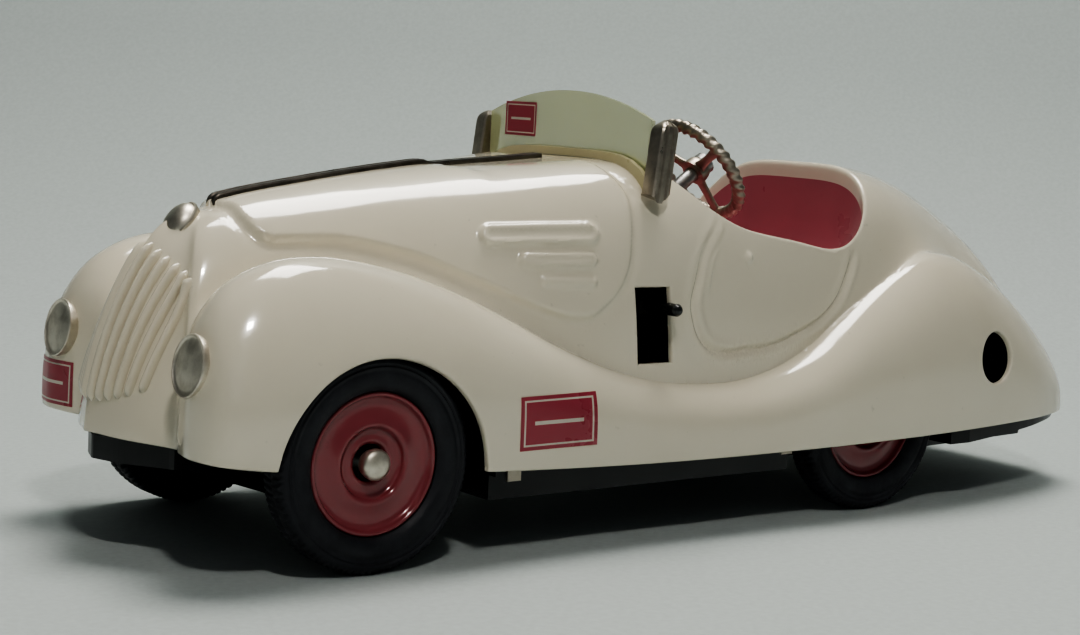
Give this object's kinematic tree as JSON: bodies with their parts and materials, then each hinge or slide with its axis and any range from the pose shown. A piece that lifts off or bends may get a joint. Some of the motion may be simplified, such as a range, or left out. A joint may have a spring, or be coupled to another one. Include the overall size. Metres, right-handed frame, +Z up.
{
  "type": "clockwork toy car",
  "caption": "Pressed-tin wind-up toy roadster: steered front wheels, geared spring motor on the rear axle, tinted screen, red seat tub.",
  "frame": {"origin": "middle of the bounding box, on the ground under the wheels", "axes": "+X forward to the nose, +Y to the car's left side, +Z up"},
  "size_m": [0.1428, 0.0478, 0.0511],
  "materials": {
    "cream_enamel": "gloss",
    "black_enamel": "gloss",
    "red_enamel": "gloss",
    "tinted_pane": "clear",
    "pale_trim": "satin",
    "nickel": "satin",
    "bare_steel": "satin",
    "black_rubber": "matte",
    "brass": "satin",
    "blued_steel": "satin",
    "black_knob": "gloss"
  },
  "bodies": {
    "chassis": {"body_shell": "cream_enamel", "base_plate": "black_enamel", "seat_tub": "red_enamel", "windscreen": "tinted_pane", "windscreen_channel": "pale_trim", "post_left": "nickel", "post_right": "nickel", "bonnet_strip": "nickel", "nose_badge": "nickel", "headlight_left": "nickel", "headlight_right": "nickel", "column_bracket": "bare_steel", "front_bracket": "bare_steel", "motor_plate_left": "bare_steel", "motor_plate_right": "bare_steel", "motor_pillars": "brass", "mainspring": "blued_steel", "lever_bracket": "bare_steel", "hand_lever_base": "bare_steel", "sill_tabs": "nickel"},
    "steering": {"steering_wheel": "nickel", "steering_column": "bare_steel"},
    "tie_rod": {"tie_rod": "bare_steel"},
    "knuckle_left": {"knuckle_left": "bare_steel", "front_cap_left": "nickel"},
    "knuckle_right": {"knuckle_right": "bare_steel", "front_cap_right": "nickel"},
    "front_wheel_left": {"front_disc_left": "red_enamel", "front_tyre_left": "black_rubber"},
    "front_wheel_right": {"front_disc_right": "red_enamel", "front_tyre_right": "black_rubber"},
    "rear_axle": {"rear_axle": "bare_steel", "rear_disc_left": "red_enamel", "rear_disc_right": "red_enamel", "rear_tyre_left": "black_rubber", "rear_tyre_right": "black_rubber", "rear_caps": "nickel", "axle_pinion": "brass"},
    "second_arbor": {"second_arbor": "bare_steel", "second_pinion": "brass", "second_wheel": "brass"},
    "great_wheel": {"great_wheel": "brass", "click_pawl": "bare_steel"},
    "winding_arbor": {"winding_arbor": "bare_steel", "ratchet_wheel": "bare_steel"},
    "side_lever": {"side_lever": "bare_steel", "lever_knob": "black_knob"},
    "hand_lever": {"hand_lever": "nickel", "hand_knob": "black_knob"}
  },
  "joints": [
    {"name": "steering_turn", "type": "hinge", "parent": "chassis", "child": "steering", "pos_m": [-0.006, 0.0072, 0.0421], "axis": [-0.809, 0, 0.5878], "range_deg": [-30, 30]},
    {"name": "tie_rod_slide", "type": "slide", "parent": "chassis", "child": "tie_rod", "axis": [0, 1, 0], "range_m": [-0.0016, 0.0016]},
    {"name": "knuckle_left_turn", "type": "hinge", "parent": "chassis", "child": "knuckle_left", "pos_m": [0.0488, 0.015, 0.01165], "axis": [0, 0, 1], "range_deg": [-10.6, 10.6]},
    {"name": "knuckle_right_turn", "type": "hinge", "parent": "chassis", "child": "knuckle_right", "pos_m": [0.0488, -0.015, 0.01165], "axis": [0, 0, 1], "range_deg": [-10.6, 10.6]},
    {"name": "front_left_spin", "type": "hinge", "parent": "knuckle_left", "child": "front_wheel_left", "pos_m": [0.0488, 0.02, 0.01165], "axis": [0, 1, 0], "continuous": true},
    {"name": "front_right_spin", "type": "hinge", "parent": "knuckle_right", "child": "front_wheel_right", "pos_m": [0.0488, -0.02, 0.01165], "axis": [0, 1, 0], "continuous": true},
    {"name": "rear_axle_spin", "type": "hinge", "parent": "chassis", "child": "rear_axle", "pos_m": [-0.0264, 0, 0.01165], "axis": [0, 1, 0], "continuous": true},
    {"name": "second_arbor_spin", "type": "hinge", "parent": "chassis", "child": "second_arbor", "pos_m": [-0.03488, 0, 0.01874], "axis": [0, 1, 0], "continuous": true},
    {"name": "great_wheel_spin", "type": "hinge", "parent": "chassis", "child": "great_wheel", "pos_m": [-0.0469, 0.0025, 0.0189], "axis": [0, 1, 0], "continuous": true},
    {"name": "winding_turn", "type": "hinge", "parent": "chassis", "child": "winding_arbor", "pos_m": [-0.0469, 0, 0.0189], "axis": [0, 1, 0], "continuous": true},
    {"name": "side_lever_swing", "type": "hinge", "parent": "chassis", "child": "side_lever", "pos_m": [-0.009, 0.0152, 0.0243], "axis": [0, 1, 0], "range_deg": [-5, 16]},
    {"name": "hand_lever_swing", "type": "hinge", "parent": "chassis", "child": "hand_lever", "pos_m": [-0.004, -0.007, 0.0312], "axis": [0, 1, 0], "range_deg": [-14, 5]}
  ],
  "couplings": [
    {"joint": "tie_rod_slide", "follows": "steering_turn", "m_per_rad": -0.003},
    {"joint": "knuckle_left_turn", "follows": "steering_turn", "ratio": 0.34884},
    {"joint": "knuckle_right_turn", "follows": "steering_turn", "ratio": 0.34884},
    {"joint": "second_arbor_spin", "follows": "rear_axle_spin", "ratio": -0.41667},
    {"joint": "great_wheel_spin", "follows": "rear_axle_spin", "ratio": 0.2}
  ]
}
